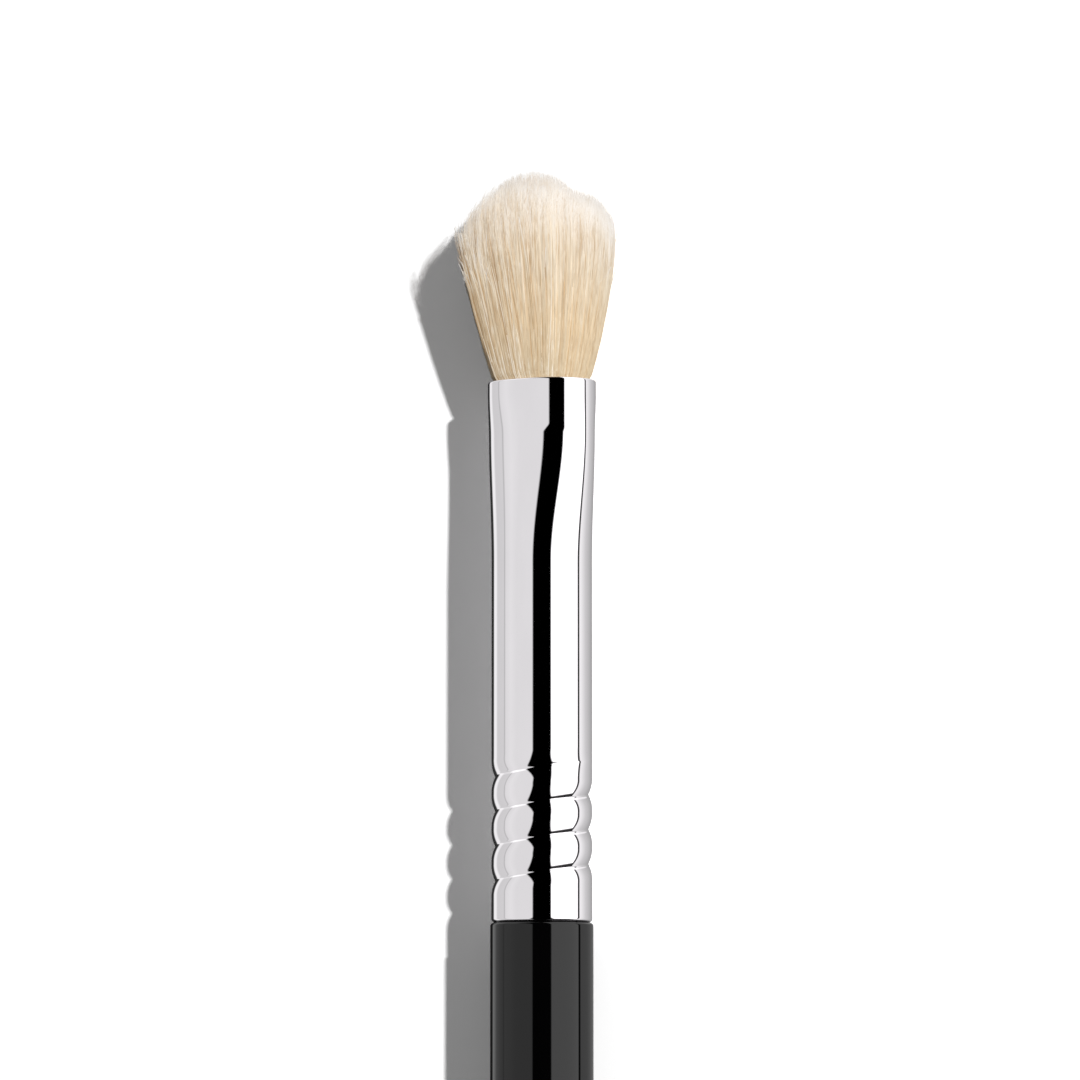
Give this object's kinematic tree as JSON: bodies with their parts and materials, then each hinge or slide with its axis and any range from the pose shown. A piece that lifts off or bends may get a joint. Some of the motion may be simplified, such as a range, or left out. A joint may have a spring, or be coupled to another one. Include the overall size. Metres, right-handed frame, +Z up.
{
  "type": "eyeshadow brush",
  "caption": "Slim eyeshadow brush with a rounded cream hair tuft, a chrome ferrule with a pinched mouth and rolled crimp, and a tapered gloss black handle.",
  "frame": {"origin": "middle of the brush's length and width, on the surface it lies on", "axes": "+Y along the brush towards the tuft, +X across the wide way of the tuft, +Z up"},
  "size_m": [0.0118, 0.18, 0.0084],
  "materials": {
    "wood": "turned, sealed",
    "lacquer": "gloss black lacquer",
    "adhesive": "set adhesive",
    "chrome": "polished plating",
    "resin": "set resin",
    "thread": "waxed thread",
    "hair": "soft cream hair"
  },
  "bodies": {
    "brush": {"handle_core": "wood", "handle_lacquer": "lacquer", "tenon_glue": "adhesive", "ferrule": "chrome", "epoxy_plug": "resin", "binding_thread": "thread", "hair_root": "hair"},
    "tuft": {"hair_head": "hair"}
  },
  "joints": [
    {"name": "tuft_flex", "type": "hinge", "parent": "brush", "child": "tuft", "pos_m": [0, 0.0781, 0.0042], "axis": [0, 0, 1], "range_deg": [-25, 25], "stiffness_Nm_per_rad": 0.003}
  ]
}
